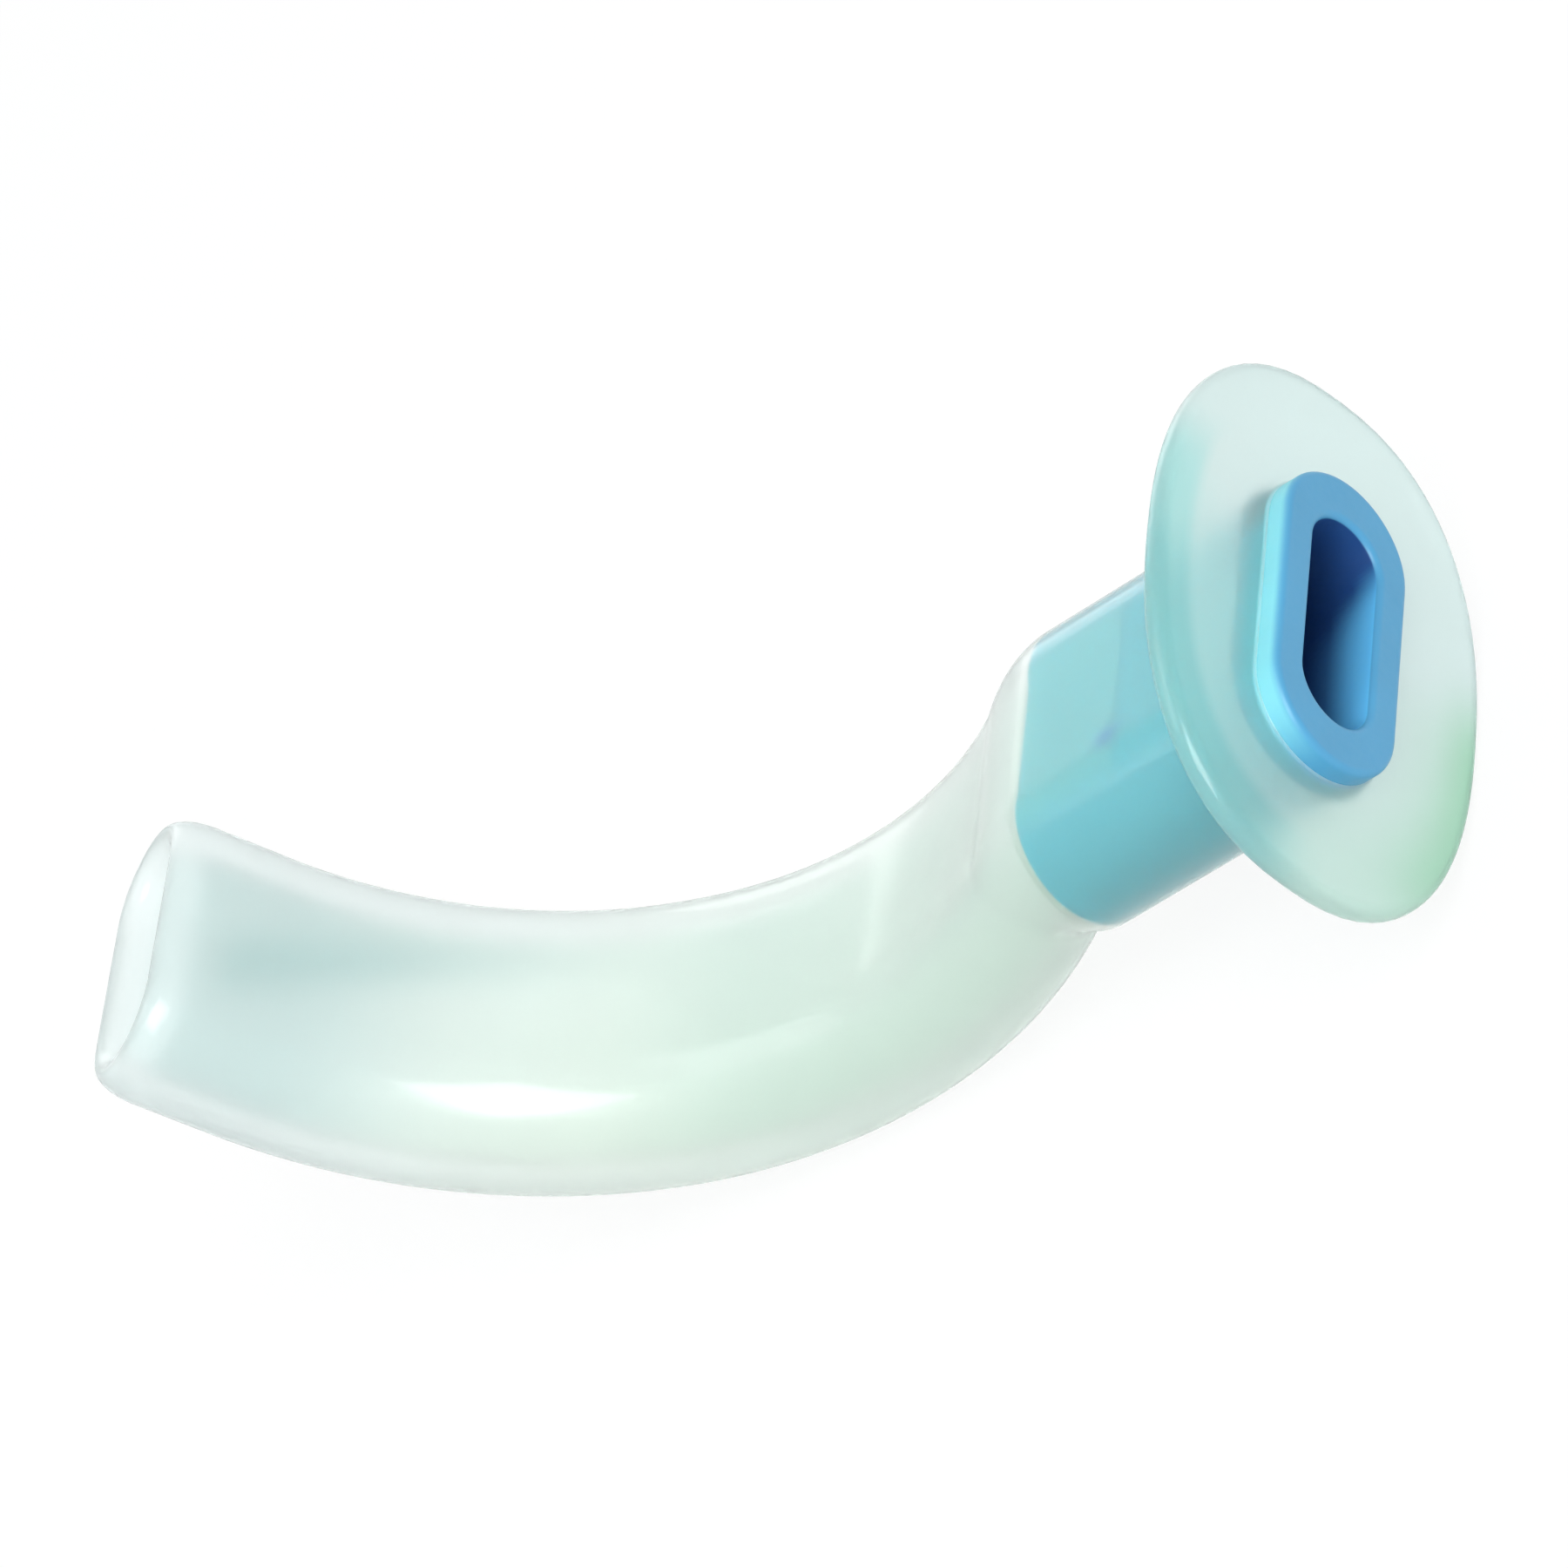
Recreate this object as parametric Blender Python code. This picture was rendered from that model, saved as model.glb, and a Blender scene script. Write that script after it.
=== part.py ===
"""Oropharyngeal airway: a soft curved tube with a flange, moulded over a rigid bite block.

Metres, +Z up. It lies on the outside of its bend, as it comes to rest on a table. Both pieces are
drawn in the bore frame: X across the bore's wide way, Y along the bore from the flange's front face
towards the tip, Z towards the inside of the bend. One empty then lays them down together.
"""

import math

import bmesh
import bpy
from mathutils import Matrix, Vector

MM = 0.001

# Bore, the same clear slot from the rim to the tip
BORE_WIDTH = 10.7 * MM
BORE_HEIGHT = 3.8 * MM

# Bite block, the rigid liner of the straight part, and how far it reaches past the sleeve
BLOCK_SIDE_WALL = 1.25 * MM
BLOCK_FLAT_WALL = 1.0 * MM
BLOCK_LENGTH = 13.7 * MM
BLOCK_REACH = 0.5 * MM
RIM_SIDE_LIP = 1.0 * MM
RIM_FLAT_LIP = 0.6 * MM
RIM_PROUD = 1.05 * MM
RIM_SEAT = 0.4 * MM
RIM_EDGE = 0.3 * MM
MOUTH_EDGE = 0.3 * MM
PANEL_DEPTH = 0.2 * MM
PANEL_START = 8.2 * MM

# Clearance all round between the block and the soft body
CLEARANCE = 0.3 * MM

# Flange and sleeve of the soft body
FLANGE_WIDTH = 26.6 * MM
FLANGE_HEIGHT = 17.9 * MM
FLANGE_THICKNESS = 1.2 * MM
FLANGE_EDGE = 0.55 * MM
FLANGE_FULLNESS = 2.35
FLANGE_LEAN = math.radians(2.0)
FLANGE_FILLET = 0.6 * MM
SLEEVE_WALL = 0.5 * MM

# Curved tube of the soft body
KINK_ANGLE = math.radians(29.5)
KINK_LENGTH = 3.4 * MM
SHOULDER_LENGTH = 3.2 * MM
BEND_START = 2.45 * MM
BEND_RADIUS = 23.7 * MM
BEND_ANGLE = math.radians(101.5)
TIP_STRAIGHT = 5.2 * MM
NECK_WIDTH = 13.4 * MM
NECK_HEIGHT = 5.7 * MM
TIP_WIDTH = 13.7 * MM
TUBE_HEIGHT = 7.3 * MM
SWELL_LENGTH = 24.5 * MM
TIP_ROUNDING = 1.9 * MM
TIP_LIP = 0.8 * MM

# Fineness of the mesh
ARC_STEPS = 14
FLAT_STEPS = 8
EDGE_STEPS = 3
KINK_STEPS = 8
BEND_STEPS = 22
STEPS_BETWEEN = 8
SHARP_ANGLE = math.radians(35)

# Search for the resting tilt: how far it looks either way and how often it halves the span
TILT_REACH = math.radians(60)
TILT_HALVINGS = 50

# Plain colours and roughness of the two plastics
SOFT_COLOUR = (0.80, 0.93, 0.88)
SOFT_ROUGHNESS = 0.3
BLUE_COLOUR = (0.10, 0.37, 0.62)
BLUE_ROUGHNESS = 0.4

# Sizes that follow
BLOCK_WIDTH = BORE_WIDTH + 2 * BLOCK_SIDE_WALL
BLOCK_HEIGHT = BORE_HEIGHT + 2 * BLOCK_FLAT_WALL
RIM_WIDTH = BLOCK_WIDTH + 2 * RIM_SIDE_LIP
RIM_HEIGHT = BLOCK_HEIGHT + 2 * RIM_FLAT_LIP
POCKET_WIDTH = BLOCK_WIDTH + 2 * CLEARANCE
POCKET_HEIGHT = BLOCK_HEIGHT + 2 * CLEARANCE
POCKET_END = BLOCK_LENGTH + CLEARANCE
RECESS_WIDTH = RIM_WIDTH + 2 * CLEARANCE
RECESS_HEIGHT = RIM_HEIGHT + 2 * CLEARANCE
RECESS_DEPTH = RIM_SEAT + CLEARANCE
SLEEVE_WIDTH = POCKET_WIDTH + 2 * SLEEVE_WALL
SLEEVE_HEIGHT = POCKET_HEIGHT + 2 * SLEEVE_WALL
SLEEVE_LENGTH = BLOCK_LENGTH - BLOCK_REACH
TUBE_LENGTH = BEND_START + BEND_RADIUS * BEND_ANGLE + TIP_STRAIGHT


def smooth_step(share):
    share = min(max(share, 0.0), 1.0)
    return share * share * (3 - 2 * share)


def between(start, end, share):
    return start + (end - start) * share


def stadium(width, height):
    """A slot outline as (x, z) points: two half rounds joined by two flats."""
    radius = height / 2
    reach = width / 2 - radius
    points = []
    for side in (1, -1):
        for step in range(ARC_STEPS + 1):
            angle = math.pi * (step / ARC_STEPS - 0.5)
            points.append((side * (reach + radius * math.cos(angle)), side * radius * math.sin(angle)))
        for step in range(1, FLAT_STEPS):
            points.append((side * reach * (1 - 2 * step / FLAT_STEPS), side * radius))
    return points


def flange_outline(inset):
    """The flange's rounded oval, drawn in by inset, with its points abreast of the sleeve's."""
    half_width = FLANGE_WIDTH / 2 - inset
    half_height = FLANGE_HEIGHT / 2 - inset
    points = []
    for x, z in stadium(SLEEVE_WIDTH, SLEEVE_HEIGHT):
        angle = math.atan2(z / SLEEVE_HEIGHT, x / SLEEVE_WIDTH)
        across = math.copysign(abs(math.cos(angle)) ** (2 / FLANGE_FULLNESS), math.cos(angle))
        up = math.copysign(abs(math.sin(angle)) ** (2 / FLANGE_FULLNESS), math.sin(angle))
        points.append((half_width * across, half_height * up))
    return points


def square_ring(outline, y, lean=0.0):
    """An outline set square to the bore at y, leant towards the tip on the inside of the bend."""
    return [Vector((x, y + z * math.tan(lean), z)) for x, z in outline]


def tube_heading(travel):
    kink = -KINK_ANGLE * smooth_step(travel / KINK_LENGTH)
    bent = min(max(travel - BEND_START, 0.0), BEND_RADIUS * BEND_ANGLE) / BEND_RADIUS
    return kink + bent


def tube_stations():
    """(travel, centre, heading) along the tube's centre line, close together through the kink."""
    travel = 0.0
    centre = Vector((0, SLEEVE_LENGTH, 0))
    stations = [(travel, centre.copy(), tube_heading(travel))]
    for length, steps in ((KINK_LENGTH, KINK_STEPS), (TUBE_LENGTH - KINK_LENGTH, BEND_STEPS)):
        stride = length / (steps * STEPS_BETWEEN)
        for step in range(1, steps * STEPS_BETWEEN + 1):
            heading = tube_heading(travel + stride / 2)
            centre += Vector((0, math.cos(heading), math.sin(heading))) * stride
            travel += stride
            if step % STEPS_BETWEEN == 0:
                stations.append((travel, centre.copy(), tube_heading(travel)))
    return stations


def tube_ring(outline, centre, heading, ahead=0.0):
    """An outline set square to the tube at a station, or a little ahead of it."""
    along = Vector((0, math.cos(heading), math.sin(heading)))
    inward = Vector((0, -math.sin(heading), math.cos(heading)))
    return [centre + along * ahead + Vector((x, 0, 0)) + inward * z for x, z in outline]


def tube_size(travel):
    """Outside width and height: the sleeve's at first, past the shoulder the tube's own."""
    share = smooth_step(travel / SHOULDER_LENGTH)
    width = between(NECK_WIDTH, TIP_WIDTH, travel / TUBE_LENGTH)
    height = between(NECK_HEIGHT, TUBE_HEIGHT, min(travel / SWELL_LENGTH, 1.0))
    return between(SLEEVE_WIDTH, width, share), between(SLEEVE_HEIGHT, height, share)


def quarter(steps=EDGE_STEPS):
    """Sine and cosine along a quarter round."""
    angles = [math.pi / 2 * step / steps for step in range(steps + 1)]
    return [(math.sin(angle), math.cos(angle)) for angle in angles]


def flange_rings():
    """From the recess mouth over the flange to the foot of the sleeve."""
    rings = [square_ring(stadium(RECESS_WIDTH, RECESS_HEIGHT), 0, FLANGE_LEAN)]
    for sine, cosine in quarter():
        inset = FLANGE_EDGE * (1 - sine)
        rings.append(square_ring(flange_outline(inset), FLANGE_EDGE * (1 - cosine), FLANGE_LEAN))
    for sine, cosine in quarter():
        inset = FLANGE_EDGE * (1 - cosine)
        y = FLANGE_THICKNESS - FLANGE_EDGE * (1 - sine)
        rings.append(square_ring(flange_outline(inset), y, FLANGE_LEAN))
    for sine, cosine in quarter():
        spread = 2 * FLANGE_FILLET * (1 - sine)
        outline = stadium(SLEEVE_WIDTH + spread, SLEEVE_HEIGHT + spread)
        y = FLANGE_THICKNESS + FLANGE_FILLET * (1 - cosine)
        rings.append(square_ring(outline, y, FLANGE_LEAN * cosine))
    return rings


def tip_rings(centre, heading):
    """The tube's round end, from its outside over to the bore."""
    side_wall = (TIP_WIDTH - BORE_WIDTH) / 2 - TIP_LIP
    flat_wall = (TUBE_HEIGHT - BORE_HEIGHT) / 2 - TIP_LIP
    rings = []
    for sine, cosine in quarter(2 * EDGE_STEPS)[1:]:
        drawn_in = 2 * (1 - cosine)
        outline = stadium(TIP_WIDTH - drawn_in * side_wall, TUBE_HEIGHT - drawn_in * flat_wall)
        rings.append(tube_ring(outline, centre, heading, TIP_ROUNDING * (sine - 1)))
    return rings


def body_rings():
    """Every ring of the soft body, out over its outside and back through its bore."""
    stations = tube_stations()
    rings = flange_rings()
    outside = [station for station in stations if station[0] < TUBE_LENGTH - TIP_ROUNDING]
    for travel, centre, heading in outside:
        rings.append(tube_ring(stadium(*tube_size(travel)), centre, heading))
    _, tip_centre, tip_heading = stations[-1]
    rings.append(tube_ring(stadium(TIP_WIDTH, TUBE_HEIGHT), tip_centre, tip_heading, -TIP_ROUNDING))
    rings += tip_rings(tip_centre, tip_heading)
    bore = stadium(BORE_WIDTH, BORE_HEIGHT)
    rings.append(tube_ring(bore, tip_centre, tip_heading, -TIP_LIP))
    past_pocket = [station for station in stations[1:-1] if station[1].y > POCKET_END + BORE_HEIGHT / 2]
    for _, centre, heading in reversed(past_pocket):
        rings.append(tube_ring(bore, centre, heading))
    pocket = stadium(POCKET_WIDTH, POCKET_HEIGHT)
    rings.append(square_ring(bore, POCKET_END))
    rings.append(square_ring(pocket, POCKET_END))
    rings.append(square_ring(pocket, RECESS_DEPTH))
    rings.append(square_ring(stadium(RECESS_WIDTH, RECESS_HEIGHT), RECESS_DEPTH))
    return rings


def block_outline(depth=0.0):
    """The block's outside, with its two flats sunk by depth between their ends."""
    outline = []
    for index, (x, z) in enumerate(stadium(BLOCK_WIDTH, BLOCK_HEIGHT)):
        on_flat = index % (ARC_STEPS + FLAT_STEPS) > ARC_STEPS
        outline.append((x, z - math.copysign(depth, z) if on_flat else z))
    return outline


def block_rings():
    """Every ring of the bite block, from the bore's mouth over the outside and back inside."""
    rings = []
    for sine, cosine in quarter():
        spread = 2 * MOUTH_EDGE * (1 - cosine)
        outline = stadium(BORE_WIDTH + spread, BORE_HEIGHT + spread)
        rings.append(square_ring(outline, -RIM_PROUD + MOUTH_EDGE * (1 - sine)))
    for sine, cosine in quarter():
        drawn_in = 2 * RIM_EDGE * (1 - sine)
        outline = stadium(RIM_WIDTH - drawn_in, RIM_HEIGHT - drawn_in)
        rings.append(square_ring(outline, -RIM_PROUD + RIM_EDGE * (1 - cosine)))
    rings.append(square_ring(stadium(RIM_WIDTH, RIM_HEIGHT), RIM_SEAT))
    rings.append(square_ring(block_outline(), RIM_SEAT))
    rings.append(square_ring(block_outline(), PANEL_START))
    rings.append(square_ring(block_outline(PANEL_DEPTH), PANEL_START + PANEL_DEPTH))
    rings.append(square_ring(block_outline(PANEL_DEPTH), BLOCK_LENGTH))
    rings.append(square_ring(stadium(BORE_WIDTH, BORE_HEIGHT), BLOCK_LENGTH))
    return rings


def ring_mesh(name, rings):
    """One closed mesh: each ring is joined to the next and the last to the first."""
    bm = bmesh.new()
    loops = [[bm.verts.new(point) for point in ring] for ring in rings]
    for loop, following in zip(loops, loops[1:] + loops[:1]):
        for index in range(len(loop)):
            after = (index + 1) % len(loop)
            bm.faces.new((loop[index], loop[after], following[after], following[index]))
    bmesh.ops.recalc_face_normals(bm, faces=bm.faces)
    mesh = bpy.data.meshes.new(name)
    bm.to_mesh(mesh)
    bm.free()
    mesh.shade_smooth()
    mesh.set_sharp_from_angle(angle=SHARP_ANGLE)
    return mesh


def material(name, colour, roughness):
    made = bpy.data.materials.new(name)
    made.use_nodes = True
    shader = made.node_tree.nodes["Principled BSDF"]
    shader.inputs["Base Color"].default_value = (*colour, 1)
    shader.inputs["Roughness"].default_value = roughness
    shader.inputs["Metallic"].default_value = 0
    return made


def lowest(points, tilt):
    return min(point.y * math.sin(tilt) + point.z * math.cos(tilt) for point in points)


def resting_tilt(flange_points, tube_points):
    """The turn about X at which the flange's edge and the outside of the bend touch one plane."""
    nose_down, nose_up = -TILT_REACH, TILT_REACH
    for _ in range(TILT_HALVINGS):
        tilt = (nose_down + nose_up) / 2
        if lowest(tube_points, tilt) < lowest(flange_points, tilt):
            nose_down = tilt
        else:
            nose_up = tilt
    return tilt


def lay_down(objects, rings):
    """Parent the pieces to an empty that lays them on z = 0, centred on the origin."""
    flange_count = 1 + 2 * (EDGE_STEPS + 1)
    flange_points = [point for ring in rings[:flange_count] for point in ring]
    tube_points = [point for ring in rings[flange_count:] for point in ring]
    tilt = resting_tilt(flange_points, tube_points)
    turn = Matrix.Rotation(tilt, 4, "X")
    placed = [turn @ vertex.co for piece in objects for vertex in piece.data.vertices]
    low = min(point.z for point in placed)
    middle = (min(point.y for point in placed) + max(point.y for point in placed)) / 2
    rest = bpy.data.objects.new("rest_pose", None)
    rest.location = (0, -middle, -low)
    rest.rotation_euler = (tilt, 0, 0)
    bpy.context.scene.collection.objects.link(rest)
    for piece in objects:
        piece.parent = rest


def add_piece(name, rings, finish):
    piece = bpy.data.objects.new(name, ring_mesh(name, rings))
    piece.data.materials.append(finish)
    bpy.context.scene.collection.objects.link(piece)
    return piece


def main():
    for leftover in list(bpy.data.objects):
        bpy.data.objects.remove(leftover)
    soft_clear = material("soft_clear", SOFT_COLOUR, SOFT_ROUGHNESS)
    blue_plastic = material("blue_plastic", BLUE_COLOUR, BLUE_ROUGHNESS)
    rings = body_rings()
    body = add_piece("airway_body", rings, soft_clear)
    block = add_piece("bite_block", block_rings(), blue_plastic)
    lay_down((body, block), rings)


main()
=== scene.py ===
"""Looks of the oropharyngeal airway: its soft clear body and blue bite block, finely meshed.

Metres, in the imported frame. Both pieces are drawn in the bore frame: X across the bore's wide way,
Y along the bore from the flange's front face towards the tip, Z towards the inside of the bend.
They are then laid down as the frame has them.
"""

import math

import bmesh
import bpy
from mathutils import Matrix, Quaternion, Vector

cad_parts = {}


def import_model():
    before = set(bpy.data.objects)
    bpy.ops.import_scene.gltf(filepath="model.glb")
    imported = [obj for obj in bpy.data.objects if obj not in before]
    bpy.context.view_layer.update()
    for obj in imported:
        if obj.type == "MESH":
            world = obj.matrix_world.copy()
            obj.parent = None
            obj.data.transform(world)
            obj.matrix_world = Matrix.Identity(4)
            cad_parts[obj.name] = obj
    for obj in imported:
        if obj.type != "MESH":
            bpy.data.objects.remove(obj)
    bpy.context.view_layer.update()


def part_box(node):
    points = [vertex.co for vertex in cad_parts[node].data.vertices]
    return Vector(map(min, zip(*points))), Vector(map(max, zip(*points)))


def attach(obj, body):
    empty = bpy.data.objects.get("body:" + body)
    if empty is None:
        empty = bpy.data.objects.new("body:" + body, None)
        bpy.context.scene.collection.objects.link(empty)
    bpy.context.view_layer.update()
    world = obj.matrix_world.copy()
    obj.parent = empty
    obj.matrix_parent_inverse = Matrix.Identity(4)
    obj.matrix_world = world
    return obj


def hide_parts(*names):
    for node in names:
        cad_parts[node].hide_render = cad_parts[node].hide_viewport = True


MM = 0.001

# Bore
BORE_WIDTH = 10.7 * MM
BORE_HEIGHT = 3.8 * MM

# Bite block
BLOCK_WIDTH = 13.2 * MM
BLOCK_HEIGHT = 5.8 * MM
BLOCK_LENGTH = 13.7 * MM
BLOCK_REACH = 0.5 * MM
RIM_WIDTH = 15.2 * MM
RIM_HEIGHT = 7.0 * MM
RIM_PROUD = 1.05 * MM
RIM_SEAT = 0.4 * MM
RIM_EDGE = 0.3 * MM
RIM_LAP = 0.15 * MM
RIM_FACE_MARGIN = 0.05 * MM
MOUTH_EDGE = 0.3 * MM
PANEL_DEPTH = 0.2 * MM
PANEL_START = 8.2 * MM
PANEL_STEP = 0.25 * MM
PANEL_SIDE = 0.9 * MM

# Flange and sleeve of the soft body
FLANGE_WIDTH = 26.6 * MM
FLANGE_HEIGHT = 17.9 * MM
FLANGE_THICKNESS = 1.2 * MM
FLANGE_EDGE = 0.55 * MM
FLANGE_FULLNESS = 2.35
FLANGE_LEAN = math.radians(2.0)
FLANGE_FILLET = 0.6 * MM
SLEEVE_WIDTH = 14.8 * MM
SLEEVE_HEIGHT = 7.4 * MM
SLEEVE_LENGTH = BLOCK_LENGTH - BLOCK_REACH
SKIN_OVERLAP = 0.02 * MM

# Curved tube of the soft body
KINK_ANGLE = math.radians(29.5)
KINK_LENGTH = 3.4 * MM
SHOULDER_LENGTH = 3.2 * MM
BEND_START = 2.45 * MM
BEND_RADIUS = 23.7 * MM
BEND_ANGLE = math.radians(101.5)
TIP_STRAIGHT = 5.2 * MM
NECK_WIDTH = 13.4 * MM
NECK_HEIGHT = 5.7 * MM
TIP_WIDTH = 13.7 * MM
TUBE_HEIGHT = 7.3 * MM
SWELL_LENGTH = 24.5 * MM
TIP_ROUNDING = 1.9 * MM
TIP_LIP = 0.8 * MM
TUBE_LENGTH = BEND_START + BEND_RADIUS * BEND_ANGLE + TIP_STRAIGHT

# How it lies: the turn about X from the bore frame
REST_TILT = math.radians(-4.334)

# Fineness of the meshes
ARC_STEPS = 32
FLAT_STEPS = 20
EDGE_STEPS = 8
RIM_SIDE_STEPS = 8
FLANGE_STEPS = 16
SLEEVE_STEPS = 12
PANEL_RINGS = 20
KINK_STEPS = 24
BEND_STEPS = 90
STEPS_BETWEEN = 4
SHARP_ANGLE = math.radians(40)

# Camera, turned about the aim point and rolled clockwise
CAMERA_AZIMUTH = math.radians(-51.89)
CAMERA_ELEVATION = math.radians(31.05)
CAMERA_ROLL = math.radians(49.6)
CAMERA_DISTANCE = 409.1 * MM
CAMERA_AIM = Vector((-6.37, -8.58, 19.65)) * MM
CAMERA_LENS = 235.85
CAMERA_SENSOR = 36
CAMERA_CLIP_START = 10 * MM

# Colours of the blue plastic, painted light and shade among them, and how far each change of colour
# reaches
BLUE_RIM = (0.068, 0.32, 0.55)
# Painted light: the rim's top side is lighter than its face, from just behind the face
BLUE_RIM_LIT_TOP = (0.22, 0.64, 0.73)
RIM_LIGHT_DEPTH = 0.45 * MM
BLUE_BORE_LIT = (0.13, 0.54, 0.9)
BLUE_BORE_DARK = (0.016, 0.07, 0.24)
BORE_SHADE_DEPTH = 3.3 * MM
BORE_SHADE_RISE = 0.7
BORE_SHADE_SIDE = 1.4
BORE_SHADE_CURVE = 3
BLUE_GRIPPED = (0.05, 0.40, 0.49)
BLUE_FLAT = (0.048, 0.44, 0.52)
BLUE_PANEL = (0.108, 0.48, 0.525)
# Painted shade in one corner of the panel
BLUE_CORNER_SHADE = (0.005, 0.22, 0.52)
GRIP_FADE = 1.6 * MM
# Painted shade along the panel's step
STEP_SHADE = 0.5
STEP_SHADE_REACH = 0.5 * MM
CORNER_SHADE_SIDE = 2.6 * MM
CORNER_SHADE_PLACE = 8.8 * MM
CORNER_SHADE_LENGTH = 1.1 * MM
CORNER_SHADE_WIDTH = 0.65 * MM

# Colours of the clear plastic, and how far each change of colour reaches
MINT_COOL = (0.92, 0.98, 0.975)
MINT_GREEN = (0.90, 0.97, 0.925)
MINT_MIDDLE = 0.6
MINT_SPAN = 18 * MM
FLANGE_MINT = (0.76, 0.895, 0.88)
FLANGE_GREEN = (0.67, 0.865, 0.80)
FLANGE_SPAN = 12 * MM

# Painted light on the flange: the sleeve's teal seen through it on one side of the rim, a teal edge
# glow along one long edge, and a green cast along part of the other
HALO_TEAL = (0.80, 0.99, 0.96)
HALO_HEADING = math.radians(142.5)
HALO_HALF = 6.6 * MM
HALO_SOFT = 1.8 * MM
HALO_START = 4 * MM
EDGE_GLOW_TEAL = (0.46, 0.82, 0.80)
TEAL_START = 0.78
TEAL_SPAN = 0.09
TEAL_TOP = 8 * MM
TEAL_LOW = -1 * MM
TEAL_FADE = 4 * MM
EDGE_CAST_GREEN = (0.42, 0.75, 0.55)
GREEN_START = 0.66
GREEN_SPAN = 0.32
GREEN_TOP = 4 * MM
GREEN_END = -13 * MM
GREEN_FADE = 5 * MM

# Painted light and shade on the bore's wall, and a painted dark band on it that sweeps round the inside
# of the bend
BORE_WALL_SHADE = (0.73, 0.81, 0.77)
BORE_WALL_LIGHT_BEND = (0.91, 0.92, 0.88)
BORE_WALL_SHADE_TIP = (0.65, 0.75, 0.74)
BEND_LIGHT_START = 0.43
BEND_LIGHT_SPAN = 0.18
TIP_SHADE_START = 0.7
TIP_SHADE_SPAN = 0.18
UNSHADED_END_START = 0.955
UNSHADED_END_SPAN = 0.02
BAND_SHADE = (0.36, 0.57, 0.56)
BAND_SHADE_START = 0.46
BAND_SHADE_PEAK = 0.9
BAND_SHADE_END = 0.955
BAND_SHADE_FALL = 0.035
BAND_SHADE_OFFSET = 3.2 * MM
BAND_SHADE_TURN = 0.62
BAND_SHADE_SWEEP = 41.5 * MM
BAND_SHADE_WIDTH = 2.8 * MM

# Finishes of the soft body's three zones: how clear and how rough each is
TUBE_ZONE, SKIN_ZONE, FLANGE_ZONE = range(3)
TUBE_FINISH = (0.8, 0.5)
SKIN_FINISH = (0.93, 0.3)
FLANGE_FINISH = (0.82, 0.42)
CLEAR_ROUGHNESS_SPREAD = 0.06
CLEAR_IOR = 1.25
CLEAR_COAT = 0.6
CLEAR_COAT_ROUGHNESS = 0.14
CLEAR_DEEPEST_CLOUD = 0.97
CLEAR_RELIEF_HEIGHT = 0.002 * MM

# Finish of the blue plastic
BLUE_ROUGHNESS = (0.36, 0.46)
BLUE_SUBSURFACE = 0.3
BLUE_SUBSURFACE_RADIUS = (0.3, 0.7, 1.0)
BLUE_SUBSURFACE_SCALE = 0.5 * MM
BLUE_DEEPEST_CLOUD = 0.95
BLUE_RELIEF_HEIGHT = 0.004 * MM

# Noise in features per metre: clouds in the colour, grain in the gloss and fine relief
CLEAR_CLOUDS = 160
CLEAR_GRAIN = 900
CLEAR_RELIEF = 2500
BLUE_CLOUDS = 300
BLUE_GRAIN = 3000
BLUE_RELIEF = 6000
NOISE_LOW = 0.3
NOISE_HIGH = 0.7

# Light and surround
WHITE = (1, 1, 1)
TOP_LAMP_COLOUR = (0.96, 1, 1)
WORLD_COLOUR = (0.97, 0.99, 1.0)
WORLD_LEVEL = 0.42
FLOOR_COLOUR = (0.92, 0.94, 0.93)
FLOOR_ROUGHNESS = 0.9
FLOOR_SIZE = 6.0
FLOOR_WHITENESS = 0.9
LAMP_AIM = Vector((0, 0, 10)) * MM


def smooth_step(share):
    share = min(max(share, 0.0), 1.0)
    return share * share * (3 - 2 * share)


def between(start, end, share):
    return start + (end - start) * share


def quarter(steps=EDGE_STEPS):
    """Sine and cosine along a quarter round."""
    angles = [math.pi / 2 * step / steps for step in range(steps + 1)]
    return [(math.sin(angle), math.cos(angle)) for angle in angles]


def stadium(width, height):
    """A slot outline as (x, z) points: two half rounds joined by two flats."""
    radius = height / 2
    reach = width / 2 - radius
    points = []
    for side in (1, -1):
        for step in range(ARC_STEPS + 1):
            angle = math.pi * (step / ARC_STEPS - 0.5)
            points.append((side * (reach + radius * math.cos(angle)), side * radius * math.sin(angle)))
        for step in range(1, FLAT_STEPS):
            points.append((side * reach * (1 - 2 * step / FLAT_STEPS), side * radius))
    return points


def flange_outline(inset):
    """The flange's rounded oval, drawn in by inset, with its points abreast of the sleeve's."""
    half_width = FLANGE_WIDTH / 2 - inset
    half_height = FLANGE_HEIGHT / 2 - inset
    points = []
    for x, z in stadium(SLEEVE_WIDTH, SLEEVE_HEIGHT):
        angle = math.atan2(z / SLEEVE_HEIGHT, x / SLEEVE_WIDTH)
        across = math.copysign(abs(math.cos(angle)) ** (2 / FLANGE_FULLNESS), math.cos(angle))
        up = math.copysign(abs(math.sin(angle)) ** (2 / FLANGE_FULLNESS), math.sin(angle))
        points.append((half_width * across, half_height * up))
    return points


def square_ring(outline, y, lean=0.0):
    """An outline set square to the bore at y, leant towards the tip on the inside of the bend."""
    return [Vector((x, y + z * math.tan(lean), z)) for x, z in outline]


def tube_heading(travel):
    kink = -KINK_ANGLE * smooth_step(travel / KINK_LENGTH)
    bent = min(max(travel - BEND_START, 0.0), BEND_RADIUS * BEND_ANGLE) / BEND_RADIUS
    return kink + bent


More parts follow.
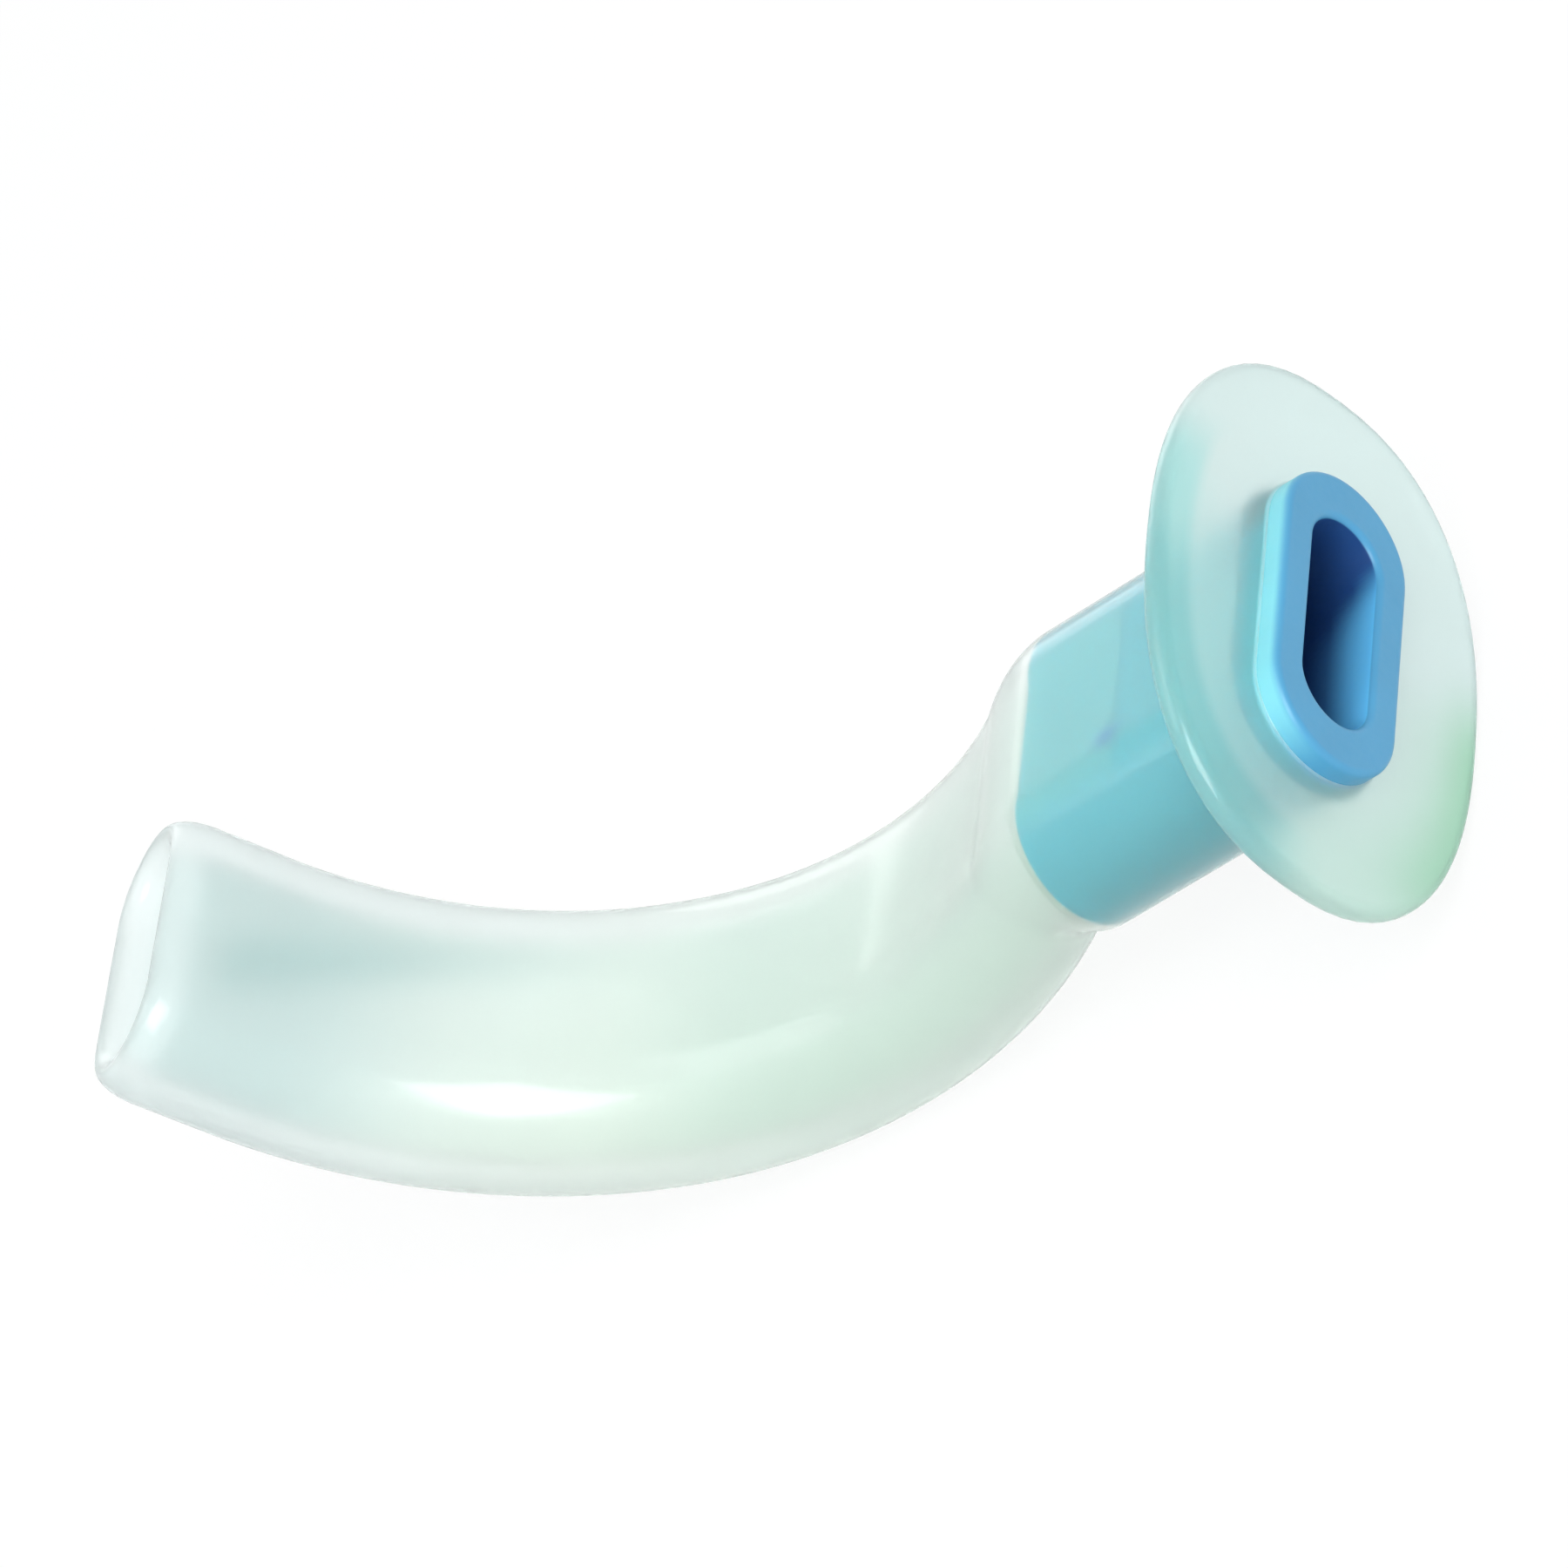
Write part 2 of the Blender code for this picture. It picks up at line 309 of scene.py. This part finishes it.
def tube_stations():
    """(travel, centre, heading) along the tube's centre line, close together through the kink."""
    travel = 0.0
    centre = Vector((0, SLEEVE_LENGTH, 0))
    stations = [(travel, centre.copy(), tube_heading(travel))]
    for length, steps in ((KINK_LENGTH, KINK_STEPS), (TUBE_LENGTH - KINK_LENGTH, BEND_STEPS)):
        stride = length / (steps * STEPS_BETWEEN)
        for step in range(1, steps * STEPS_BETWEEN + 1):
            heading = tube_heading(travel + stride / 2)
            centre += Vector((0, math.cos(heading), math.sin(heading))) * stride
            travel += stride
            if step % STEPS_BETWEEN == 0:
                stations.append((travel, centre.copy(), tube_heading(travel)))
    return stations


def tube_ring(outline, centre, heading, ahead=0.0):
    """An outline set square to the tube at a station, or a little ahead of it."""
    along = Vector((0, math.cos(heading), math.sin(heading)))
    inward = Vector((0, -math.sin(heading), math.cos(heading)))
    return [centre + along * ahead + Vector((x, 0, 0)) + inward * z for x, z in outline]


def tube_size(travel):
    """Outside width and height: the sleeve's at first, past the shoulder the tube's own."""
    share = smooth_step(travel / SHOULDER_LENGTH)
    width = between(NECK_WIDTH, TIP_WIDTH, travel / TUBE_LENGTH)
    height = between(NECK_HEIGHT, TUBE_HEIGHT, min(travel / SWELL_LENGTH, 1.0))
    return between(SLEEVE_WIDTH, width, share), between(SLEEVE_HEIGHT, height, share)


def flange_rings():
    """From the rim's foot over the flange to the foot of the sleeve."""
    rings = []
    for sine, cosine in quarter():
        spread_out = 2 * RIM_LAP * (1 - cosine) - 2 * SKIN_OVERLAP
        outline = stadium(RIM_WIDTH + spread_out, RIM_HEIGHT + spread_out)
        rings.append(square_ring(outline, RIM_LAP * (sine - 1), FLANGE_LEAN))
    lap = 2 * (RIM_LAP - SKIN_OVERLAP)
    inner = stadium(RIM_WIDTH + lap, RIM_HEIGHT + lap)
    outer = flange_outline(FLANGE_EDGE)
    for step in range(1, FLANGE_STEPS):
        share = step / FLANGE_STEPS
        outline = [(between(a, c, share), between(b, d, share)) for (a, b), (c, d) in zip(inner, outer)]
        rings.append(square_ring(outline, 0, FLANGE_LEAN))
    for sine, cosine in quarter():
        inset = FLANGE_EDGE * (1 - sine)
        rings.append(square_ring(flange_outline(inset), FLANGE_EDGE * (1 - cosine), FLANGE_LEAN))
    for sine, cosine in quarter():
        inset = FLANGE_EDGE * (1 - cosine)
        y = FLANGE_THICKNESS - FLANGE_EDGE * (1 - sine)
        rings.append(square_ring(flange_outline(inset), y, FLANGE_LEAN))
    for sine, cosine in quarter():
        spread = 2 * FLANGE_FILLET * (1 - sine)
        outline = stadium(SLEEVE_WIDTH + spread, SLEEVE_HEIGHT + spread)
        y = FLANGE_THICKNESS + FLANGE_FILLET * (1 - cosine)
        rings.append(square_ring(outline, y, FLANGE_LEAN * cosine))
    return rings


def sleeve_rings():
    """The straight sleeve, up to where the tube starts."""
    start = FLANGE_THICKNESS + FLANGE_FILLET
    outline = stadium(SLEEVE_WIDTH, SLEEVE_HEIGHT)
    places = [between(start, SLEEVE_LENGTH, step / SLEEVE_STEPS) for step in range(1, SLEEVE_STEPS)]
    return [square_ring(outline, y) for y in places]


def tip_rings(centre, heading):
    """The tube's round end, from its outside over to the bore."""
    side_wall = (TIP_WIDTH - BORE_WIDTH) / 2 - TIP_LIP
    flat_wall = (TUBE_HEIGHT - BORE_HEIGHT) / 2 - TIP_LIP
    rings = []
    for sine, cosine in quarter(2 * EDGE_STEPS)[1:]:
        drawn_in = 2 * (1 - cosine)
        outline = stadium(TIP_WIDTH - drawn_in * side_wall, TUBE_HEIGHT - drawn_in * flat_wall)
        rings.append(tube_ring(outline, centre, heading, TIP_ROUNDING * (sine - 1)))
    for sine, cosine in quarter():
        lip = 2 * TIP_LIP * (1 - sine)
        outline = stadium(BORE_WIDTH + lip, BORE_HEIGHT + lip)
        rings.append(tube_ring(outline, centre, heading, TIP_LIP * (cosine - 1)))
    return rings


def outside_rings(stations):
    """The soft body's outside, from the rim's foot over the flange and along the tube to its mouth."""
    rings = flange_rings() + sleeve_rings()
    for travel, centre, heading in stations:
        if travel < TUBE_LENGTH - TIP_ROUNDING:
            rings.append(tube_ring(stadium(*tube_size(travel)), centre, heading))
    _, tip_centre, tip_heading = stations[-1]
    rings.append(tube_ring(stadium(TIP_WIDTH, TUBE_HEIGHT), tip_centre, tip_heading, -TIP_ROUNDING))
    return rings + tip_rings(tip_centre, tip_heading)


def seat_rings():
    """Where the soft body grips the block, from the block's end back to its rim."""
    rings = [square_ring(stadium(BORE_WIDTH, BORE_HEIGHT), BLOCK_LENGTH - SKIN_OVERLAP)]
    rings += pocket_rings()
    seat = stadium(RIM_WIDTH - 2 * SKIN_OVERLAP, RIM_HEIGHT - 2 * SKIN_OVERLAP)
    return rings + [square_ring(seat, RIM_SEAT - SKIN_OVERLAP)]


def soft_body_shape():
    """Rings of the soft body, out over its outside and back inside, and the tint of each point."""
    stations = tube_stations()
    rings = outside_rings(stations)
    tints = [body_tint(point) for ring in rings for point in ring]
    bore = stadium(BORE_WIDTH, BORE_HEIGHT)
    for travel, centre, heading in reversed(stations[1:-2]):
        rings.append(tube_ring(bore, centre, heading))
        share = travel / TUBE_LENGTH
        for point, (x, z) in zip(rings[-1], bore):
            # Painted light and shade on the bore's wall, with a painted dark band
            wall_light = blend(painted_bore_light(share), BAND_SHADE, painted_bore_band(share, x, z))
            tints.append([mint * clear for mint, clear in zip(body_tint(point), wall_light)])
    seat = seat_rings()
    tints += [body_tint(point) for ring in seat for point in ring]
    return rings + seat, tints


def block_outline(grow, depth):
    """The block's outside grown by grow, with its two flats sunk by depth, softly at their ends."""
    flat_end = (BLOCK_WIDTH - BLOCK_HEIGHT) / 2
    outline = []
    for x, z in stadium(BLOCK_WIDTH + 2 * grow, BLOCK_HEIGHT + 2 * grow):
        sunk = depth * smooth_step((flat_end - abs(x)) / PANEL_SIDE)
        outline.append((x, z - math.copysign(sunk, z)))
    return outline


def block_side_rings(grow):
    """The block's long sides, from behind its rim to its end, with the panels in its flats."""
    rings = [square_ring(block_outline(grow, 0), RIM_SEAT)]
    rings.append(square_ring(block_outline(grow, 0), PANEL_START - STEP_SHADE_REACH))
    rings.append(square_ring(block_outline(grow, 0), PANEL_START))
    for step in range(1, EDGE_STEPS + 1):
        share = step / EDGE_STEPS
        depth = PANEL_DEPTH * smooth_step(share)
        rings.append(square_ring(block_outline(grow, depth), PANEL_START + PANEL_STEP * share))
    for step in range(1, PANEL_RINGS + 1):
        y = between(PANEL_START + PANEL_STEP, BLOCK_LENGTH, step / PANEL_RINGS)
        rings.append(square_ring(block_outline(grow, PANEL_DEPTH), y))
    return rings


def pocket_rings():
    """The soft body's pocket, which grips the block with no air between them."""
    return list(reversed(block_side_rings(-SKIN_OVERLAP)))


def block_rings():
    """Every ring of the bite block, from the bore's mouth over the outside and back inside."""
    rings = []
    for sine, cosine in quarter():
        spread = 2 * MOUTH_EDGE * (1 - cosine)
        outline = stadium(BORE_WIDTH + spread, BORE_HEIGHT + spread)
        rings.append(square_ring(outline, -RIM_PROUD + MOUTH_EDGE * (1 - sine)))
    inner = 2 * (MOUTH_EDGE + RIM_FACE_MARGIN)
    outer = 2 * (RIM_EDGE + RIM_FACE_MARGIN)
    rings.append(square_ring(stadium(BORE_WIDTH + inner, BORE_HEIGHT + inner), -RIM_PROUD))
    rings.append(square_ring(stadium(RIM_WIDTH - outer, RIM_HEIGHT - outer), -RIM_PROUD))
    for sine, cosine in quarter():
        drawn_in = 2 * RIM_EDGE * (1 - sine)
        outline = stadium(RIM_WIDTH - drawn_in, RIM_HEIGHT - drawn_in)
        rings.append(square_ring(outline, -RIM_PROUD + RIM_EDGE * (1 - cosine)))
    for step in range(1, RIM_SIDE_STEPS + 1):
        y = between(RIM_EDGE - RIM_PROUD, RIM_SEAT, step / RIM_SIDE_STEPS)
        rings.append(square_ring(stadium(RIM_WIDTH, RIM_HEIGHT), y))
    rings += block_side_rings(0.0)
    bore = stadium(BORE_WIDTH, BORE_HEIGHT)
    for step in range(SLEEVE_STEPS):
        y = between(BLOCK_LENGTH, -RIM_PROUD + MOUTH_EDGE, step / SLEEVE_STEPS)
        rings.append(square_ring(bore, y))
    return rings


def ring_mesh(name, rings):
    """One closed mesh: each ring is joined to the next and the last to the first."""
    bm = bmesh.new()
    loops = [[bm.verts.new(point) for point in ring] for ring in rings]
    for loop, following in zip(loops, loops[1:] + loops[:1]):
        for index in range(len(loop)):
            after = (index + 1) % len(loop)
            bm.faces.new((loop[index], loop[after], following[after], following[index]))
    bmesh.ops.recalc_face_normals(bm, faces=bm.faces)
    mesh = bpy.data.meshes.new(name)
    bm.to_mesh(mesh)
    bm.free()
    mesh.shade_smooth()
    mesh.set_sharp_from_angle(angle=SHARP_ANGLE)
    return mesh


def lay_down(pieces):
    """Turn the pieces to how they lie and set the soft body in its node's place."""
    low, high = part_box("airway_body")
    turn = Matrix.Rotation(REST_TILT, 4, "X")
    for piece in pieces:
        piece.data.transform(turn)
    points = [vertex.co for vertex in pieces[0].data.vertices]
    middle = (min(point.y for point in points) + max(point.y for point in points)) / 2
    bottom = min(point.z for point in points)
    shift = Matrix.Translation((0, (low.y + high.y) / 2 - middle, low.z - bottom))
    for piece in pieces:
        piece.data.transform(shift)


def blend(first, second, share):
    return [between(a, b, share) for a, b in zip(first, second)]


def outside_slot(place, width, height):
    """How far a point lies outside a slot outline, less than 0 within it."""
    off_flat = max(abs(place.x) - (width - height) / 2, 0)
    return math.hypot(off_flat, place.z) - height / 2


def gripped_tint(place):
    """Teal under the clear skin, paler on the flats, with painted shade along the panel's step and in
    one corner of the panel.
    """
    flat = blend(BLUE_FLAT, BLUE_PANEL, smooth_step((place.y - PANEL_START) / PANEL_STEP))
    # Painted shade along the panel's step
    at_step = 1 - smooth_step(abs(place.y - PANEL_START) / STEP_SHADE_REACH)
    flat = blend(flat, BLUE_GRIPPED, STEP_SHADE * at_step)
    off_flat = (abs(place.x) - (BLOCK_WIDTH - BLOCK_HEIGHT) / 2) / GRIP_FADE
    gripped = blend(flat, BLUE_GRIPPED, smooth_step(off_flat))
    # Painted shade in one corner of the panel, on one flat only
    from_corner_shade = math.hypot((place.x + CORNER_SHADE_SIDE) / CORNER_SHADE_WIDTH, (place.y - CORNER_SHADE_PLACE) / CORNER_SHADE_LENGTH)
    corner_shaded = 1 - smooth_step(from_corner_shade) if place.z > 0 else 0
    return blend(gripped, BLUE_CORNER_SHADE, corner_shaded)


def block_tint(place):
    """Blue at the rim with painted light on its top side, painted shade inside the bore, paler on the
    flats the soft body grips.
    """
    if outside_slot(place, BORE_WIDTH, BORE_HEIGHT) < SKIN_OVERLAP:
        depth = (place.y + RIM_PROUD - MOUTH_EDGE) / BORE_SHADE_DEPTH
        height = (place.z + BORE_HEIGHT / 2) / BORE_HEIGHT
        sideways = max(2 * place.x / BORE_WIDTH, 0) ** BORE_SHADE_CURVE
        shade = depth + BORE_SHADE_RISE * height + BORE_SHADE_SIDE * sideways
        return blend(BLUE_BORE_LIT, BLUE_BORE_DARK, smooth_step(shade))
    if place.y > RIM_SEAT - SKIN_OVERLAP:
        return gripped_tint(place)
    # Painted light on the rim's top side
    down_side = smooth_step((place.y + RIM_PROUD) / RIM_LIGHT_DEPTH)
    on_top = smooth_step(2 * place.z / RIM_HEIGHT)
    return blend(BLUE_RIM, BLUE_RIM_LIT_TOP, down_side * on_top)


def flange_reach(place):
    """How far out a point of the flange lies: 0 at its middle and 1 at its edge."""
    across = (2 * abs(place.x) / FLANGE_WIDTH) ** FLANGE_FULLNESS
    up = (2 * abs(place.z) / FLANGE_HEIGHT) ** FLANGE_FULLNESS
    return (across + up) ** (1 / FLANGE_FULLNESS)


def over_sleeve(place):
    """How much of the sleeve shows through the flange, painted on one side of the rim only."""
    along = place.x * math.cos(HALO_HEADING) + place.z * math.sin(HALO_HEADING)
    aside = abs(place.x * math.sin(HALO_HEADING) - place.z * math.cos(HALO_HEADING))
    return smooth_step((HALO_HALF - aside) / HALO_SOFT) * smooth_step(along / HALO_START)


def flange_tint(place):
    """Pale mint with painted light: the sleeve's teal seen through on one side of the rim, a teal edge
    glow along one long edge, a green cast along part of the other.
    """
    out = flange_reach(place)
    # Painted teal edge glow along one long edge
    teal = smooth_step((out - TEAL_START) / TEAL_SPAN)
    teal *= smooth_step((TEAL_TOP - place.x) / TEAL_FADE)
    teal *= smooth_step((place.z - TEAL_LOW) / TEAL_FADE)
    # Painted green cast along part of the other edge
    green = smooth_step((out - GREEN_START) / GREEN_SPAN)
    green *= smooth_step((GREEN_TOP - place.x) / GREEN_FADE)
    green *= smooth_step((place.x - GREEN_END) / GREEN_FADE)
    green *= smooth_step(-2 * place.z / FLANGE_HEIGHT)
    tint = blend(FLANGE_MINT, FLANGE_GREEN, smooth_step(-place.x / FLANGE_SPAN))
    # Painted teal of the sleeve seen through, on one side of the rim
    tint = blend(tint, HALO_TEAL, over_sleeve(place))
    return blend(blend(tint, EDGE_GLOW_TEAL, teal), EDGE_CAST_GREEN, green)


def body_tint(place):
    """Clear mint, greener low down, with the flange's tints and painted light."""
    if place.y < FLANGE_THICKNESS + FLANGE_FILLET:
        return flange_tint(place)
    warmth = smooth_step(MINT_MIDDLE - (place.x / 2 + place.z) / MINT_SPAN)
    return blend(MINT_COOL, MINT_GREEN, warmth)


def painted_bore_light(share):
    """Painted light and shade on the bore's wall along the tube: lightest round the bend and at the
    tip's end.
    """
    past_start = smooth_step((share - BEND_LIGHT_START) / BEND_LIGHT_SPAN)
    wall_light = blend(BORE_WALL_SHADE, BORE_WALL_LIGHT_BEND, past_start)
    past_bend = smooth_step((share - TIP_SHADE_START) / TIP_SHADE_SPAN)
    wall_light = blend(wall_light, BORE_WALL_SHADE_TIP, past_bend)
    return blend(wall_light, WHITE, smooth_step((share - UNSHADED_END_START) / UNSHADED_END_SPAN))


def painted_bore_band(share, x, z):
    """How much painted dark band lies on the bore's wall, at a share of the tube's length and a place
    in its section.
    """
    along = smooth_step((share - BAND_SHADE_START) / (BAND_SHADE_PEAK - BAND_SHADE_START))
    short_of_tip = smooth_step((BAND_SHADE_END - share) / BAND_SHADE_FALL)
    middle = BAND_SHADE_OFFSET - BAND_SHADE_SWEEP * (share - BAND_SHADE_TURN) ** 2
    across = 1 - smooth_step(abs(x - middle) / BAND_SHADE_WIDTH)
    return along * short_of_tip * across * smooth_step(2 * z / BORE_HEIGHT)


def paint(mesh, tints):
    """Give each point its own colour."""
    layer = mesh.color_attributes.new("tint", "FLOAT_COLOR", "POINT")
    for cell, tint in zip(layer.data, tints):
        cell.color = (*tint, 1)


def body_zone(face):
    """Which of the soft body's finishes a face has: the tube's, the flange's or the skin's between."""
    if face.center.y > BLOCK_LENGTH:
        return TUBE_ZONE
    return SKIN_ZONE if face.center.y > FLANGE_THICKNESS + FLANGE_FILLET else FLANGE_ZONE


def add_piece(name, rings, tints, finishes, node, slot):
    """One shown piece that stands for a node of the frame, painted point by point."""
    piece = bpy.data.objects.new(name, ring_mesh(name, rings))
    paint(piece.data, tints)
    for finish in finishes:
        piece.data.materials.append(finish)
    bpy.context.scene.collection.objects.link(piece)
    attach(piece, "root")
    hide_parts(node)
    return piece


def new_material(name):
    made = bpy.data.materials.new(name)
    made.use_nodes = True
    return made, made.node_tree.nodes, made.node_tree.links


def noise(nodes, links, scale, detail):
    """A noise texture in the piece's own space, with scale in features per metre."""
    place = nodes.new("ShaderNodeTexCoord")
    texture = nodes.new("ShaderNodeTexNoise")
    texture.inputs["Scale"].default_value = scale
    texture.inputs["Detail"].default_value = detail
    links.new(place.outputs["Object"], texture.inputs["Vector"])
    return texture.outputs["Fac"]


def spread(nodes, links, source, low, high):
    """A noise value mapped to the span from low to high."""
    ramp = nodes.new("ShaderNodeMapRange")
    ramp.inputs["From Min"].default_value = NOISE_LOW
    ramp.inputs["From Max"].default_value = NOISE_HIGH
    ramp.inputs["To Min"].default_value = low
    ramp.inputs["To Max"].default_value = high
    links.new(source, ramp.inputs["Value"])
    return ramp.outputs["Result"]


def clouded_tint(nodes, links, scale, low):
    """The painted colour, made a little deeper here and there, down to low of itself."""
    painted = nodes.new("ShaderNodeAttribute")
    painted.attribute_name = "tint"
    scaled = nodes.new("ShaderNodeVectorMath")
    scaled.operation = "SCALE"
    links.new(painted.outputs["Color"], scaled.inputs["Vector"])
    links.new(spread(nodes, links, noise(nodes, links, scale, 2), low, 1.0), scaled.inputs["Scale"])
    return scaled.outputs["Vector"]


def bump(nodes, links, source, height, shader):
    """Fine relief from a noise value, height in metres."""
    relief = nodes.new("ShaderNodeBump")
    relief.inputs["Distance"].default_value = height
    relief.inputs["Strength"].default_value = 1.0
    links.new(source, relief.inputs["Height"])
    links.new(relief.outputs["Normal"], shader.inputs["Normal"])


def soft_clear(name, clearness, roughness):
    """Milky translucent elastomer with a satin skin and faint cloudiness."""
    made, nodes, links = new_material(name)
    shader = nodes["Principled BSDF"]
    tint = clouded_tint(nodes, links, CLEAR_CLOUDS, CLEAR_DEEPEST_CLOUD)
    links.new(tint, shader.inputs["Base Color"])
    grain = noise(nodes, links, CLEAR_GRAIN, 4)
    gloss = spread(nodes, links, grain, roughness, roughness + CLEAR_ROUGHNESS_SPREAD)
    links.new(gloss, shader.inputs["Roughness"])
    shader.inputs["IOR"].default_value = CLEAR_IOR
    shader.inputs["Transmission Weight"].default_value = clearness
    shader.inputs["Coat Weight"].default_value = CLEAR_COAT
    shader.inputs["Coat Roughness"].default_value = CLEAR_COAT_ROUGHNESS
    bump(nodes, links, noise(nodes, links, CLEAR_RELIEF, 2), CLEAR_RELIEF_HEIGHT, shader)
    return made


def blue_plastic():
    """Satin moulded polypropylene with a very fine spark-eroded texture."""
    made, nodes, links = new_material("blue_plastic")
    shader = nodes["Principled BSDF"]
    tint = clouded_tint(nodes, links, BLUE_CLOUDS, BLUE_DEEPEST_CLOUD)
    links.new(tint, shader.inputs["Base Color"])
    gloss = spread(nodes, links, noise(nodes, links, BLUE_GRAIN, 3), *BLUE_ROUGHNESS)
    links.new(gloss, shader.inputs["Roughness"])
    shader.inputs["Subsurface Weight"].default_value = BLUE_SUBSURFACE
    shader.inputs["Subsurface Radius"].default_value = BLUE_SUBSURFACE_RADIUS
    shader.inputs["Subsurface Scale"].default_value = BLUE_SUBSURFACE_SCALE
    bump(nodes, links, noise(nodes, links, BLUE_RELIEF, 3), BLUE_RELIEF_HEIGHT, shader)
    return made


def seen_white(nodes, links):
    """1 for rays that look at the ground, straight on or through or off the object, else 0."""
    path = nodes.new("ShaderNodeLightPath")
    total = path.outputs["Is Camera Ray"]
    for kind in ("Is Glossy Ray", "Is Transmission Ray"):
        largest = nodes.new("ShaderNodeMath")
        largest.operation = "MAXIMUM"
        links.new(total, largest.inputs[0])
        links.new(path.outputs[kind], largest.inputs[1])
        total = largest.outputs[0]
    return total


def make_world():
    """An even pale surround that lights the object and looks white."""
    world = bpy.data.worlds.new("studio")
    world.use_nodes = True
    nodes, links = world.node_tree.nodes, world.node_tree.links
    lit = nodes["Background"]
    lit.inputs["Color"].default_value = (*WORLD_COLOUR, 1)
    lit.inputs["Strength"].default_value = WORLD_LEVEL
    shown = nodes.new("ShaderNodeBackground")
    shown.inputs["Color"].default_value = (*WHITE, 1)
    mix = nodes.new("ShaderNodeMixShader")
    links.new(seen_white(nodes, links), mix.inputs["Fac"])
    links.new(lit.outputs["Background"], mix.inputs[1])
    links.new(shown.outputs["Background"], mix.inputs[2])
    links.new(mix.outputs["Shader"], nodes["World Output"].inputs["Surface"])
    bpy.context.scene.world = world


def make_floor():
    """A pale matt floor that looks nearly white and keeps the object's shadow."""
    mesh = bpy.data.meshes.new("floor")
    half = FLOOR_SIZE / 2
    corners = [(-half, -half, 0), (half, -half, 0), (half, half, 0), (-half, half, 0)]
    mesh.from_pydata(corners, [], [(0, 1, 2, 3)])
    floor = bpy.data.objects.new("floor", mesh)
    bpy.context.scene.collection.objects.link(floor)
    made, nodes, links = new_material("floor")
    matt = nodes["Principled BSDF"]
    matt.inputs["Base Color"].default_value = (*FLOOR_COLOUR, 1)
    matt.inputs["Roughness"].default_value = FLOOR_ROUGHNESS
    glow = nodes.new("ShaderNodeEmission")
    glow.inputs["Color"].default_value = (*WHITE, 1)
    share = nodes.new("ShaderNodeMath")
    share.operation = "MULTIPLY"
    links.new(seen_white(nodes, links), share.inputs[0])
    share.inputs[1].default_value = FLOOR_WHITENESS
    mix = nodes.new("ShaderNodeMixShader")
    links.new(share.outputs[0], mix.inputs["Fac"])
    links.new(matt.outputs["BSDF"], mix.inputs[1])
    links.new(glow.outputs["Emission"], mix.inputs[2])
    links.new(mix.outputs["Shader"], nodes["Material Output"].inputs["Surface"])
    mesh.materials.append(made)


def direction(azimuth, elevation):
    """Unit vector towards an azimuth, 0 at -Y and 90 degrees at +X, and an elevation."""
    level = math.cos(elevation)
    return Vector((math.sin(azimuth) * level, -math.cos(azimuth) * level, math.sin(elevation)))


def softbox(name, azimuth, elevation, distance, width, height, watts, colour=WHITE):
    """A rectangular lamp aimed at the middle of the object: angles in degrees, sizes in metres."""
    lamp = bpy.data.lights.new(name, "AREA")
    lamp.shape = "RECTANGLE"
    lamp.size = width
    lamp.size_y = height
    lamp.energy = watts
    lamp.color = colour
    towards = direction(math.radians(azimuth), math.radians(elevation))
    holder = bpy.data.objects.new(name, lamp)
    holder.location = LAMP_AIM + towards * distance
    holder.rotation_mode = "QUATERNION"
    holder.rotation_quaternion = towards.to_track_quat("Z", "Y")
    bpy.context.scene.collection.objects.link(holder)


def make_lights():
    """A key light from the camera's side, a weak one from above and a weak low one from behind."""
    softbox("key", azimuth=-50, elevation=50, distance=0.5, width=0.33, height=0.28, watts=2.2)
    softbox(
        "top", azimuth=170, elevation=72, distance=0.5, width=0.3, height=0.3, watts=0.6,
        colour=TOP_LAMP_COLOUR,
    )
    softbox("back", azimuth=120, elevation=15, distance=0.6, width=0.3, height=0.2, watts=0.35)


def make_camera():
    back = direction(CAMERA_AZIMUTH, CAMERA_ELEVATION)
    camera = bpy.data.objects.new("camera", bpy.data.cameras.new("camera"))
    camera.data.lens = CAMERA_LENS
    camera.data.sensor_width = CAMERA_SENSOR
    camera.data.clip_start = CAMERA_CLIP_START
    camera.location = CAMERA_AIM + back * CAMERA_DISTANCE
    camera.rotation_mode = "QUATERNION"
    level = (-back).to_track_quat("-Z", "Y")
    camera.rotation_quaternion = level @ Quaternion((0, 0, 1), -CAMERA_ROLL)
    bpy.context.scene.collection.objects.link(camera)
    bpy.context.scene.camera = camera


def main():
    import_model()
    clears = [
        soft_clear("soft_clear", *TUBE_FINISH),
        soft_clear("soft_skin", *SKIN_FINISH),
        soft_clear("soft_flange", *FLANGE_FINISH),
    ]
    body = add_piece("soft_body", *soft_body_shape(), clears, "airway_body", "soft_clear")
    for face in body.data.polygons:
        face.material_index = body_zone(face)
    rings = block_rings()
    tints = [block_tint(point) for ring in rings for point in ring]
    block = add_piece("blue_bite_block", rings, tints, [blue_plastic()], "bite_block", "blue_plastic")
    lay_down((body, block))
    make_world()
    make_floor()
    make_lights()
    make_camera()
    bpy.context.scene.view_settings.view_transform = "Standard"


main()
